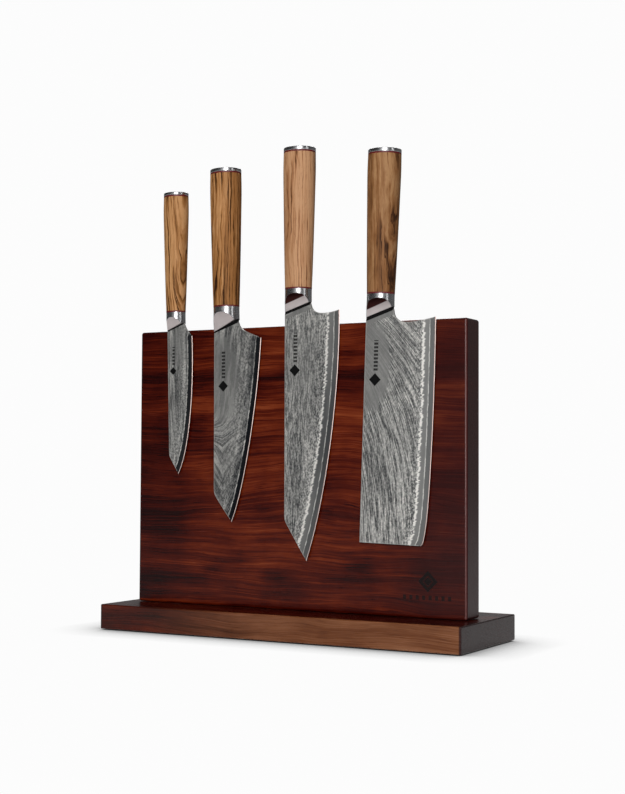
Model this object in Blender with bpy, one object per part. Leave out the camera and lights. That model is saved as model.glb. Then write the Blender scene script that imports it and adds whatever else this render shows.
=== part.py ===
"""Magnetic knife stand with four kitchen knives.

An upright panel, made of two boards glued face to face with magnets between them, stands on a base plank.
Four knives hang on its front face: each is a blade with a long tang, which carries a steel bolster, a red
spacer, an oval olive-wood handle, a second red spacer and a steel end cap.

Frame: origin on the surface it stands on, under the middle of the base. +X runs to the right along the
panel, +Y to the back and +Z up. Each knife hangs under an empty whose origin is on the handle's axis at the
bolster's upper end; there +X points to the cutting edge and +Z along the handle.
"""

import math

import bmesh
import bpy
from mathutils import Vector
from mathutils.geometry import delaunay_2d_cdt, intersect_point_line

MM = 0.001

# ---- driving dimensions, in millimetres ----
BASE_LENGTH, BASE_DEPTH, BASE_THICKNESS = 326.4, 108.0, 20.4
BASE_EDGE_ROUND = 1.2
FOOT_RADIUS, FOOT_LENGTH, FOOT_RECESS = 7.0, 1.8, 1.0
FOOT_INSET = 16.0

PANEL_LENGTH, PANEL_HEIGHT = 303.7, 230.0
PANEL_FRONT_Y = -16.0
FRONT_BOARD_THICKNESS, BACK_BOARD_THICKNESS = 8.0, 16.2
PANEL_EDGE_ROUND = 2.0
GLUE_GAP = 0.3

MAGNET_LENGTH, MAGNET_WIDTH, MAGNET_THICKNESS = 60.0, 16.0, 5.0
MAGNETS_IN_ROW, MAGNET_SPACING = 4, 68.0
MAGNET_ROW_HEIGHTS = {"upper": 214.7, "lower": 150.7}
MAGNET_CLEARANCE = 0.3

SCREW_X = {"left": -110.0, "middle": 0.0, "right": 110.0}
SCREW_LENGTH, SCREW_RADIUS, SCREW_HEAD_RADIUS, SCREW_HEAD_HEIGHT = 50.0, 2.5, 4.8, 3.6
SCREW_COUNTERBORE = 4.0
DOWEL_X = {"left": -60.0, "right": 60.0}
DOWEL_RADIUS, DOWEL_LENGTH = 4.0, 28.0
HOLE_CLEARANCE = 0.3

BLADE_TO_PANEL = 1.25
JOINT_GAP = 0.15
LINER_THICKNESS = 1.0
CAP_EDGE_ROUND = 0.4
TANG_CLEARANCE = 0.2
TANG_INTO_CAP = 1.5
BOLSTER_END_HALF, GRIND_LINE_HALF = 1.3, 1.5  # the bolster's half thickness at its end and at the line
HANDLE_ROUNDNESS = 0.85  # depth over width of the oval

# A blade's half thickness against the distance from its cutting edge.
BLADE_TAPER = ((0.0, 0.12), (1.0, 0.35), (11.0, 0.80), (50.0, 1.1))
BEVEL_WIDTH, GRIND_WIDTH = BLADE_TAPER[1][0], BLADE_TAPER[2][0]
BLADE_HALF = BLADE_TAPER[-1][1]

HANDLE_SIDES = 36
ROUND_SIDES = 16
CURVE_STEPS = 18
CHOIL_STEPS = 10
HANDLE_RINGS = 9

# ---- derived places, in millimetres ----
BASE_BOTTOM_Z = FOOT_LENGTH - FOOT_RECESS
PANEL_BOTTOM_Z = BASE_BOTTOM_Z + BASE_THICKNESS + GLUE_GAP
PANEL_MIDDLE_Z = PANEL_BOTTOM_Z + PANEL_HEIGHT / 2
FRONT_BOARD_BACK_Y = PANEL_FRONT_Y + FRONT_BOARD_THICKNESS
BACK_BOARD_FRONT_Y = FRONT_BOARD_BACK_Y + GLUE_GAP
FASTENER_Y = BACK_BOARD_FRONT_Y + BACK_BOARD_THICKNESS / 2
BLADE_Y = PANEL_FRONT_Y - BLADE_TO_PANEL - BLADE_HALF

# ---- the knives. Places are in each knife's own frame, in millimetres ----
# A bolster is a short oval cylinder whose lower end is cut off obliquely. Each of its two sides is
# ground hollow, along a line just above that end.
LARGE_GRIP = {
    "front_half": 11.25,  # the handle's half width at the bolster, at its widest and at the cap
    "widest_half": 13.75,
    "rear_half": 13.35,
    "cap": 3.0,
    "tang_half": 4.0,
    "foot": (0.25, 11.85),  # centre and half width where the bolster meets the blade
}
SMALL_GRIP = {
    "front_half": 8.5,
    "widest_half": 11.25,
    "rear_half": 10.75,
    "cap": 2.5,
    "tang_half": 3.2,
    "foot": (0.6, 8.5),
}
KNIVES = {
    "utility": {
        "place": (-114.2, 266.7, -0.5),  # x, height and lean in degrees of the handle's axis
        "grip": SMALL_GRIP,
        "length": 102.0,
        "bolster_end": ((-7.9, -16.1), (9.1, -10.05)),
        "grind_line": ((-7.9, -15.85), (9.1, -9.45)),
        "grind": (17.3, 23.0),  # radius of the hollow, and its slope in degrees at the line
        "spine_x": -7.8,  # the spine's place at the bolster
        "choil": ((10.2, -13.8), (13.2, -17.0)),
        "heel": (16.6, -20.5),
        "edge": ((18.8, -70.7), (13.2, -119.0)),
        "tip": (2.7, -136.5),
        "clip": ((-6.3, -119.6), (-6.2, -120.8), (-5.3, -122.7)),
    },
    "bunka": {
        "place": (-63.55, 268.9, -0.85),
        "grip": LARGE_GRIP,
        "length": 115.5,
        "bolster_end": ((-11.6, -21.2), (12.1, -13.5)),
        "grind_line": ((-11.6, -20.8), (12.1, -10.8)),
        "grind": (17.0, 24.0),
        "spine_x": -11.3,
        "choil": ((14.4, -21.0), (20.2, -20.8)),
        "heel": (33.5, -27.1),
        "edge": ((29.7, -81.4), (15.9, -153.4)),
        "tip": (3.9, -177.9),
        "clip": ((-12.8, -149.4), (-12.7, -154.9), (-8.5, -160.8)),
    },
    "chef": {
        "place": (5.25, 280.2, 0.28),
        "grip": LARGE_GRIP,
        "length": 115.2,
        "bolster_end": ((-11.6, -20.4), (12.1, -12.7)),
        "grind_line": ((-11.6, -19.5), (12.1, -11.5)),
        "grind": (10.3, 16.0),
        "spine_x": -11.6,
        "choil": ((13.7, -22.3), (27.0, -20.7)),
        "heel": (37.9, -17.7),
        "edge": ((38.9, -90.8), (25.9, -171.9)),
        "tip": (9.8, -218.6),
        "clip": ((-10.7, -182.7), (-10.4, -186.7), (-7.4, -191.5)),
    },
    "nakiri": {
        "place": (79.65, 272.4, 1.65),
        "grip": LARGE_GRIP,
        "length": 114.1,
        "bolster_end": ((-11.6, -21.1), (12.1, -12.6)),
        "grind_line": ((-11.6, -20.0), (12.1, -10.95)),
        "grind": (10.3, 18.0),
        "spine_x": -11.5,
        "choil": ((12.4, -24.4), (26.0, -23.4)),
        "heel": (47.9, -18.1),
        "edge": ((48.8, -78.8), (47.4, -148.8)),
        "tip": (44.7, -177.3),
        "corner": ((43.3, -187.6), (42.7, -193.7), (40.6, -194.6)),
        "clip": ((-12.0, -194.7),),
    },
}

# ---- materials: colour, roughness and metallic value ----
FINISHES = {
    "stained_wood": ((0.085, 0.022, 0.014), 0.35, 0.0),
    "olive_wood": ((0.42, 0.22, 0.10), 0.5, 0.0),
    "beech": ((0.55, 0.38, 0.22), 0.6, 0.0),
    "damascus_steel": ((0.42, 0.42, 0.43), 0.38, 1.0),
    "bright_steel": ((0.62, 0.62, 0.64), 0.22, 1.0),
    "zinc_steel": ((0.55, 0.52, 0.45), 0.4, 1.0),
    "magnet": ((0.45, 0.45, 0.47), 0.3, 1.0),
    "red_fibre": ((0.28, 0.02, 0.02), 0.5, 0.0),
    "rubber": ((0.02, 0.02, 0.02), 0.85, 0.0),
}


# ---- helpers ----
def clear_scene():
    for item in list(bpy.data.objects):
        bpy.data.objects.remove(item)


def finish(name):
    """The named material, made once."""
    found = bpy.data.materials.get(name)
    if found:
        return found
    colour, roughness, metallic = FINISHES[name]
    made = bpy.data.materials.new(name)
    made.use_nodes = True
    shader = made.node_tree.nodes["Principled BSDF"]
    shader.inputs["Base Color"].default_value = (*colour, 1.0)
    shader.inputs["Roughness"].default_value = roughness
    shader.inputs["Metallic"].default_value = metallic
    return made


def add_object(name, bm, material=None, parent=None, smooth_angle=None):
    """An object from a bmesh in millimetres. Without a material it is a hidden cutter."""
    bmesh.ops.scale(bm, vec=(MM, MM, MM), verts=bm.verts)
    bmesh.ops.recalc_face_normals(bm, faces=bm.faces)
    mesh = bpy.data.meshes.new(name)
    bm.to_mesh(mesh)
    bm.free()
    if smooth_angle is not None:
        mesh.shade_smooth()
        mesh.set_sharp_from_angle(angle=math.radians(smooth_angle))
    item = bpy.data.objects.new(name, mesh)
    bpy.context.scene.collection.objects.link(item)
    item.parent = parent
    if material:
        mesh.materials.append(finish(material))
    else:
        item.hide_render = True
        item.display_type = "WIRE"
    return item


def cut(item, cutter):
    """Takes the cutter's volume away from the item."""
    step = item.modifiers.new("cut", "BOOLEAN")
    step.operation = "DIFFERENCE"
    step.solver = "EXACT"
    step.object = cutter


def round_edges(item, width, segments=2, angle=40.0):
    step = item.modifiers.new("rounding", "BEVEL")
    step.width = width * MM
    step.segments = segments
    step.limit_method = "ANGLE"
    step.angle_limit = math.radians(angle)


def add_box(bm, low, high):
    """A box between two corners."""
    made = bmesh.ops.create_cube(bm, size=1.0)["verts"]
    low, high = Vector(low), Vector(high)
    bmesh.ops.scale(bm, vec=high - low, verts=made)
    bmesh.ops.translate(bm, vec=(low + high) / 2, verts=made)


def add_loft(bm, rings):
    """A closed solid through rings of equally many points."""
    loops = [[bm.verts.new(point) for point in ring] for ring in rings]
    for lower, upper in zip(loops, loops[1:]):
        for i in range(len(lower)):
            j = (i + 1) % len(lower)
            bm.faces.new((lower[i], lower[j], upper[j], upper[i]))
    bm.faces.new(reversed(loops[0]))
    bm.faces.new(loops[-1])


def oval(half_width, half_depth, z, centre_x=0.0, sides=HANDLE_SIDES):
    """A ring of points round an upright oval."""
    turn = 2 * math.pi / sides
    return [
        (centre_x + half_width * math.cos(i * turn), half_depth * math.sin(i * turn), z)
        for i in range(sides)
    ]


def add_turned(bm, profile, place, sides=ROUND_SIDES):
    """An upright round solid from (radius, height) pairs, standing at a place."""
    rings = [oval(radius, radius, height, sides=sides) for radius, height in profile]
    px, py, pz = place
    add_loft(bm, [[(x + px, y + py, z + pz) for x, y, z in ring] for ring in rings])


def bezier(start, control_a, control_b, end, steps):
    """Points along a cubic curve, without its first point."""
    a, b, c, d = (Vector(p) for p in (start, control_a, control_b, end))
    points = []
    for i in range(1, steps + 1):
        t = i / steps
        s = 1 - t
        points.append(a * s**3 + b * 3 * s * s * t + c * 3 * s * t * t + d * t**3)
    return points


# ---- the stand ----
def foot_places():
    x = BASE_LENGTH / 2 - FOOT_INSET
    y = BASE_DEPTH / 2 - FOOT_INSET
    return {
        "foot_front_left": (-x, -y),
        "foot_front_right": (x, -y),
        "foot_back_left": (-x, y),
        "foot_back_right": (x, y),
    }


def screw_profile():
    """The turned outline of a countersunk screw, from its head's flat face up to its point."""
    return [
        (SCREW_HEAD_RADIUS, 0.0),
        (SCREW_HEAD_RADIUS, 0.6),
        (SCREW_RADIUS, SCREW_HEAD_HEIGHT),
        (SCREW_RADIUS, SCREW_LENGTH - 6.0),
        (0.8, SCREW_LENGTH),
    ]


def make_base():
    bottom, top = BASE_BOTTOM_Z, BASE_BOTTOM_Z + BASE_THICKNESS
    half_x, half_y = BASE_LENGTH / 2, BASE_DEPTH / 2
    bm = bmesh.new()
    add_box(bm, (-half_x, -half_y, bottom), (half_x, half_y, top))
    base = add_object("base_plank", bm, "stained_wood")
    round_edges(base, BASE_EDGE_ROUND)

    bm = bmesh.new()
    for x, y in foot_places().values():
        wide = FOOT_RADIUS + HOLE_CLEARANCE
        deep = FOOT_RECESS + HOLE_CLEARANCE
        add_turned(bm, [(wide, -1.0), (wide, deep)], (x, y, bottom))
    for x in SCREW_X.values():
        counterbore = SCREW_HEAD_RADIUS + 0.6
        add_turned(bm, [(counterbore, -1.0), (counterbore, SCREW_COUNTERBORE)], (x, FASTENER_Y, bottom))
    cut(base, add_object("base_recess_cutter", bm))

    bm = bmesh.new()
    for x in SCREW_X.values():
        shank = SCREW_RADIUS + HOLE_CLEARANCE
        head = SCREW_HEAD_RADIUS + HOLE_CLEARANCE
        profile = [
            (head, SCREW_COUNTERBORE - 1.0),
            (head, SCREW_COUNTERBORE + 0.9),
            (shank, SCREW_COUNTERBORE + SCREW_HEAD_HEIGHT + HOLE_CLEARANCE),
            (shank, BASE_THICKNESS + 1.0),
        ]
        add_turned(bm, profile, (x, FASTENER_Y, bottom))
    wide = DOWEL_RADIUS + HOLE_CLEARANCE
    for x in DOWEL_X.values():
        depth = DOWEL_LENGTH / 2 + HOLE_CLEARANCE
        add_turned(bm, [(wide, -depth), (wide, 1.0)], (x, FASTENER_Y, top))
    cut(base, add_object("base_hole_cutter", bm))


def make_board(name, front_y, back_y, sharp_side):
    """One of the panel's two boards. Its outer edges are rounded; those on the glued side stay sharp."""
    bm = bmesh.new()
    half = PANEL_LENGTH / 2
    low = (-half, front_y, PANEL_BOTTOM_Z)
    add_box(bm, low, (half, back_y, PANEL_BOTTOM_Z + PANEL_HEIGHT))
    glued_y = back_y if sharp_side == "back" else front_y
    outer = [e for e in bm.edges if not all(abs(v.co.y - glued_y) < 1e-6 for v in e.verts)]
    bmesh.ops.bevel(
        bm, geom=outer, offset=PANEL_EDGE_ROUND, segments=3, profile=0.5, affect="EDGES"
    )
    return add_object(name, bm, "stained_wood", smooth_angle=30)


def magnet_boxes(clearance=0.0):
    """The name and the two corners of each bar magnet, let in from the front board's back face."""
    boxes = {}
    half_x = MAGNET_LENGTH / 2 + clearance
    half_z = MAGNET_WIDTH / 2 + clearance
    back = FRONT_BOARD_BACK_Y - MAGNET_CLEARANCE
    front = back - MAGNET_THICKNESS - clearance
    for row, z in MAGNET_ROW_HEIGHTS.items():
        for i in range(MAGNETS_IN_ROW):
            x = (i - (MAGNETS_IN_ROW - 1) / 2) * MAGNET_SPACING
            low, high = (x - half_x, front, z - half_z), (x + half_x, back, z + half_z)
            boxes[f"magnet_{row}_{i + 1}"] = (low, high)
    return boxes


def make_panel():
    front = make_board("front_board", PANEL_FRONT_Y, FRONT_BOARD_BACK_Y, "back")
    bm = bmesh.new()
    for low, high in magnet_boxes(MAGNET_CLEARANCE).values():
        add_box(bm, low, (high[0], FRONT_BOARD_BACK_Y + 1.0, high[2]))
    cut(front, add_object("magnet_pocket_cutter", bm))

    back_y = BACK_BOARD_FRONT_Y + BACK_BOARD_THICKNESS
    back = make_board("back_board", BACK_BOARD_FRONT_Y, back_y, "front")
    bm = bmesh.new()
    start = BASE_BOTTOM_Z + SCREW_COUNTERBORE
    for x in SCREW_X.values():
        shank = SCREW_RADIUS + HOLE_CLEARANCE
        pilot_top = start + SCREW_LENGTH + 1.0
        add_turned(bm, [(shank, PANEL_BOTTOM_Z - 1.0), (shank, pilot_top)], (x, FASTENER_Y, 0.0))
    wide = DOWEL_RADIUS + HOLE_CLEARANCE
    for x in DOWEL_X.values():
        top = BASE_BOTTOM_Z + BASE_THICKNESS + DOWEL_LENGTH / 2 + HOLE_CLEARANCE
        add_turned(bm, [(wide, PANEL_BOTTOM_Z - 1.0), (wide, top)], (x, FASTENER_Y, 0.0))
    cut(back, add_object("back_board_hole_cutter", bm))


def make_stand_hardware():
    for name, (low, high) in magnet_boxes().items():
        bm = bmesh.new()
        add_box(bm, low, high)
        add_object(name, bm, "magnet")

    for side, x in SCREW_X.items():
        bm = bmesh.new()
        head_z = BASE_BOTTOM_Z + SCREW_COUNTERBORE + HOLE_CLEARANCE
        add_turned(bm, screw_profile(), (x, FASTENER_Y, head_z))
        add_object(f"panel_screw_{side}", bm, "zinc_steel", smooth_angle=40)

    low = BASE_BOTTOM_Z + BASE_THICKNESS - DOWEL_LENGTH / 2
    for side, x in DOWEL_X.items():
        bm = bmesh.new()
        profile = [
            (DOWEL_RADIUS - 0.8, low),
            (DOWEL_RADIUS, low + 0.8),
            (DOWEL_RADIUS, low + DOWEL_LENGTH - 0.8),
            (DOWEL_RADIUS - 0.8, low + DOWEL_LENGTH),
        ]
        add_turned(bm, profile, (x, FASTENER_Y, 0.0))
        add_object(f"panel_dowel_{side}", bm, "beech", smooth_angle=40)

    for name, (x, y) in foot_places().items():
        bm = bmesh.new()
        profile = [(FOOT_RADIUS - 0.6, 0.0), (FOOT_RADIUS, 0.6), (FOOT_RADIUS, FOOT_LENGTH)]
        add_turned(bm, profile, (x, y, 0.0), sides=24)
        add_object(name, bm, "rubber", smooth_angle=40)


# ---- the knives ----
def taper_half(distance):
    """A blade's half thickness at a distance from its cutting edge."""
    for (d0, h0), (d1, h1) in zip(BLADE_TAPER, BLADE_TAPER[1:]):
        if distance <= d1:
            return h0 + (h1 - h0) * (distance - d0) / (d1 - d0)
    return BLADE_HALF


def distance_to(point, line):
    best = 1e9
    for a, b in zip(line, line[1:]):
        near, share = intersect_point_line(point, a, b)
        near = a if share < 0 else b if share > 1 else near
        best = min(best, (point - near).length)
    return best


def inside(point, outline):
    """Whether a 2-D point is inside a closed outline."""
    odd = False
    for a, b in zip(outline, outline[1:] + outline[:1]):
        if (a.y > point.y) != (b.y > point.y):
            odd ^= point.x < a.x + (b.x - a.x) * (point.y - a.y) / (b.y - a.y)
    return odd


def offset_line(line, distance, overrun=6.0):
    """A line beside the cutting edge, on the spine's side, run on past both of its ends."""
    moved = []
    for i, point in enumerate(line):
        along = line[min(i + 1, len(line) - 1)] - line[max(i - 1, 0)]
        inward = Vector((along.y, -along.x)).normalized()
        moved.append(point + inward * distance)
    first = (moved[0] - moved[1]).normalized() * overrun
    last = (moved[-1] - moved[-2]).normalized() * overrun
    return [moved[0] + first] + moved + [moved[-1] + last]


def blade_lines(knife):
    """The blade's closed outline with its tang, and its cutting edge, as lists of 2-D points (x, z)."""
    grip = knife["grip"]
    left, right = (Vector(p) for p in knife["bolster_end"])
    tang = grip["tang_half"]
    tang_top = knife["length"] - grip["cap"] + TANG_INTO_CAP

    def shoulder(x):
        return left.lerp(right, (x - left.x) / (right.x - left.x))

    heel = Vector(knife["heel"])
    edge = [heel] + bezier(heel, *knife["edge"], knife["tip"], CURVE_STEPS)
    if "corner" in knife:
        edge += bezier(knife["tip"], *knife["corner"], CHOIL_STEPS // 2)
    choil = bezier(right, *knife["choil"], heel, CHOIL_STEPS)
    clip = [Vector(p) for p in knife["clip"]]
    if len(clip) == 3:
        clip = [clip[0]] + bezier(clip[0], clip[1], clip[1], clip[2], 4)
    tang_points = [(-tang, tang_top), (tang, tang_top)]
    outline = [right] + choil[:-1] + edge + clip[::-1] + [shoulder(knife["spine_x"]), shoulder(-tang)]
    return outline + [Vector(p) for p in tang_points] + [shoulder(tang)], edge


def make_blade(name, knife, parent):
    """The blade and its tang in one piece: a flat sheet that thins towards the cutting edge."""
    outline, edge = blade_lines(knife)
    points, links = list(outline), []
    links += [(i, (i + 1) % len(outline)) for i in range(len(outline))]
    for distance in (BEVEL_WIDTH, GRIND_WIDTH):
        line = offset_line(edge, distance)
        links += [(len(points) + i, len(points) + i + 1) for i in range(len(line) - 1)]
        points += line
    flat, _, faces, _, _, _ = delaunay_2d_cdt(points, links, [], 0, 1e-5)
    faces = [f for f in faces if inside(sum((flat[i] for i in f), Vector((0, 0))) / len(f), outline)]

    bm = bmesh.new()
    front, back = {}, {}
    for i in sorted({i for f in faces for i in f}):
        half = taper_half(distance_to(flat[i], edge))
        front[i] = bm.verts.new((flat[i].x, -half, flat[i].y))
        back[i] = bm.verts.new((flat[i].x, half, flat[i].y))
    sides = {}
    for f in faces:
        bm.faces.new([front[i] for i in f])
        bm.faces.new([back[i] for i in reversed(f)])
        for i, j in zip(f, f[1:] + f[:1]):
            if (j, i) in sides:
                del sides[(j, i)]
            else:
                sides[(i, j)] = True
    for i, j in sides:
        bm.faces.new((front[j], front[i], back[i], back[j]))
    return add_object(name, bm, "damascus_steel", parent)


def grind_section(knife):
    """The section of what is ground off one side of a bolster, as (distance up, half thickness), and the
    lean of the grinding wheel's path."""
    (left_x, left_z), (right_x, right_z) = knife["grind_line"]
    lean = math.atan2(right_z - left_z, right_x - left_x)
    start = left_z * math.cos(lean) - left_x * math.sin(lean)
    radius, first_slope = knife["grind"]
    outer = knife["grip"]["front_half"] * HANDLE_ROUNDNESS + 4.0
    section = [(start - 12.0, BOLSTER_END_HALF), (start - 1.2, BOLSTER_END_HALF)]
    turn, step = math.radians(first_slope), math.radians(7.0)
    sine, cosine = math.sin(turn), math.cos(turn)
    while True:
        up = start + radius * (math.sin(turn) - sine)
        half = GRIND_LINE_HALF + radius * (cosine - math.cos(turn))
        section.append((up, half))
        if half > outer or turn > math.radians(88):
            break
        turn += step
    return section + [(section[-1][0], outer + 4.0), (section[0][0], outer + 4.0)], lean


def make_bolster(name, knife, parent):
    grip = knife["grip"]
    half = grip["front_half"]
    depth = half * HANDLE_ROUNDNESS
    centre, foot_half = grip["foot"]
    left, right = (Vector((x, 0.0, z)) for x, z in knife["bolster_end"])
    middle_z = (left.z + right.z) / 2
    bm = bmesh.new()
    rings = [
        oval(foot_half, depth, left.z - 3.0, centre),
        oval(foot_half, depth, middle_z, centre),
        oval((foot_half + half) / 2 - 0.1, depth, 0.66 * middle_z, centre / 2),
        oval(half, depth, 0.3 * middle_z),
        oval(half, depth, 0.0),
    ]
    add_loft(bm, rings)
    normal = Vector((left.z - right.z, 0.0, right.x - left.x)).normalized()
    whole = bm.verts[:] + bm.edges[:] + bm.faces[:]
    end_point = left + normal * JOINT_GAP
    bmesh.ops.bisect_plane(bm, geom=whole, plane_co=end_point, plane_no=normal, clear_inner=True)
    bmesh.ops.holes_fill(bm, edges=[e for e in bm.edges if e.is_boundary])
    bolster = add_object(name, bm, "bright_steel", parent, smooth_angle=25)

    section, lean = grind_section(knife)
    reach = foot_half + 25.0
    for side, sign in (("front", -1), ("back", 1)):
        bm = bmesh.new()
        rings = []
        for along in (-reach, reach):
            ring = []
            for up, thick in section:
                x = along * math.cos(lean) - up * math.sin(lean)
                z = along * math.sin(lean) + up * math.cos(lean)
                ring.append((x, sign * thick, z))
            rings.append(ring)
        add_loft(bm, rings)
        cut(bolster, add_object(f"{name}_{side}_cutter", bm, parent=parent))
    cut(bolster, make_tang_cutter(name, knife, parent, left.z - 7.0, 3.0))


def make_tang_cutter(name, knife, parent, low_z, high_z):
    """The slot that the tang passes through."""
    bm = bmesh.new()
    x = knife["grip"]["tang_half"] + TANG_CLEARANCE
    y = BLADE_HALF + TANG_CLEARANCE
    add_box(bm, (-x, -y, low_z), (x, y, high_z))
    return add_object(f"{name}_tang_cutter", bm, parent=parent)


def handle_half(grip, share):
    """The handle's half width at a share of its length: it swells steadily, then draws in to the cap."""
    widest_at = 0.85
    if share < widest_at:
        return grip["front_half"] + (grip["widest_half"] - grip["front_half"]) * (share / widest_at) ** 0.8
    drawn = (share - widest_at) / (1 - widest_at)
    return grip["widest_half"] - (grip["widest_half"] - grip["rear_half"]) * drawn * drawn


def make_grip(knife_name, knife, parent):
    """Front spacer, handle, rear spacer and end cap, in that order up the tang."""
    grip, length = knife["grip"], knife["length"]
    cap_low = length - grip["cap"]
    rear_liner_low = cap_low - JOINT_GAP - LINER_THICKNESS
    wood_low = 2 * JOINT_GAP + LINER_THICKNESS
    wood_high = rear_liner_low - JOINT_GAP

    def ring(z):
        half = handle_half(grip, min(1.0, max(0.0, z / length)))
        return oval(half, half * HANDLE_ROUNDNESS, z)

    def solid(part, heights, material):
        bm = bmesh.new()
        add_loft(bm, [ring(z) for z in heights])
        return add_object(f"{knife_name}_{part}", bm, material, parent, smooth_angle=30)

    step = (wood_high - wood_low) / HANDLE_RINGS
    wood = [wood_low + i * step for i in range(HANDLE_RINGS + 1)]
    front = solid("front_liner", [JOINT_GAP, JOINT_GAP + LINER_THICKNESS], "red_fibre")
    handle = solid("handle", wood, "olive_wood")
    rear = solid("rear_liner", [rear_liner_low, rear_liner_low + LINER_THICKNESS], "red_fibre")
    cap = solid("end_cap", [cap_low, length], "bright_steel")
    round_edges(cap, CAP_EDGE_ROUND, segments=1, angle=60.0)
    slot_top = cap_low + TANG_INTO_CAP + TANG_CLEARANCE
    cutter = make_tang_cutter(f"{knife_name}_grip", knife, parent, -5.0, slot_top)
    for item in (front, handle, rear, cap):
        cut(item, cutter)


def make_knife(knife_name, knife):
    x, z, lean = knife["place"]
    hang = bpy.data.objects.new(f"{knife_name}_axis", None)
    bpy.context.scene.collection.objects.link(hang)
    hang.location = (x * MM, BLADE_Y * MM, z * MM)
    hang.rotation_euler = (0.0, math.radians(lean), 0.0)
    make_blade(f"{knife_name}_blade", knife, hang)
    make_bolster(f"{knife_name}_bolster", knife, hang)
    make_grip(knife_name, knife, hang)


def main():
    clear_scene()
    make_base()
    make_panel()
    make_stand_hardware()
    for knife_name, knife in KNIVES.items():
        make_knife(knife_name, knife)


main()
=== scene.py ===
"""Looks for a magnetic knife stand: a stained wooden panel on a plank, with four knives on its front face.

Everything is in the frame's metres. A material reads its place from object coordinates: the pieces'
origins all sit at the frame's origin, so those are the places at rest. A knife's own frame has its origin
on the handle's axis at the bolster's upper end, +X to the cutting edge and +Z up the handle, in
millimetres.
"""

import math

import bmesh
import bpy
from mathutils import Matrix, Vector
from mathutils.geometry import delaunay_2d_cdt, intersect_point_line


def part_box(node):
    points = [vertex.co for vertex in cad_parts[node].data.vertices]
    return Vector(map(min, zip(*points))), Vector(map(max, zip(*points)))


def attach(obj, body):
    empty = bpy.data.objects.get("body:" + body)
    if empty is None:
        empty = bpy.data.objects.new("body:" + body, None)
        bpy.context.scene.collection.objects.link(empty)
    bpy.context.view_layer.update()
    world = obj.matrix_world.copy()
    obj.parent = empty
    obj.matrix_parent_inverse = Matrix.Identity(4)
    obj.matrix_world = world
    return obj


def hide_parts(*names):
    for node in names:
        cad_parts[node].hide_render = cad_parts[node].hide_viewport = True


MM = 0.001
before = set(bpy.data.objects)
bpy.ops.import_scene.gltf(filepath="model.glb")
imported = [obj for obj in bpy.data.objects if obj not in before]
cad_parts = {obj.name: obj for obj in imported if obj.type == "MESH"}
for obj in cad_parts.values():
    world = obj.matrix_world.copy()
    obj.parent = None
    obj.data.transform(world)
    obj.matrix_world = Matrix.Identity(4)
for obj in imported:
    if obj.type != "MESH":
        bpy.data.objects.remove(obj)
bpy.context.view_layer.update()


# ------------------------------------------------------------------ node graphs
def linear(red, green, blue):
    """A colour given in 0 to 255, as the linear values that a shader takes."""
    def one(value):
        value /= 255.0
        return value / 12.92 if value <= 0.04045 else ((value + 0.055) / 1.055) ** 2.4
    return (one(red), one(green), one(blue), 1.0)


def operation(kind):
    def apply(self, other):
        return self.graph.math(kind, self, other)
    return apply


class Value:
    """A number in a node tree. Arithmetic on it adds Math nodes."""

    def __init__(self, graph, socket):
        self.graph, self.socket = graph, socket

    def __rsub__(self, other):
        return self.graph.math("SUBTRACT", other, self)

    __add__ = __radd__ = operation("ADD")
    __mul__ = __rmul__ = operation("MULTIPLY")
    __sub__ = operation("SUBTRACT")
    __truediv__ = operation("DIVIDE")
    __pow__ = operation("POWER")


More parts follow.
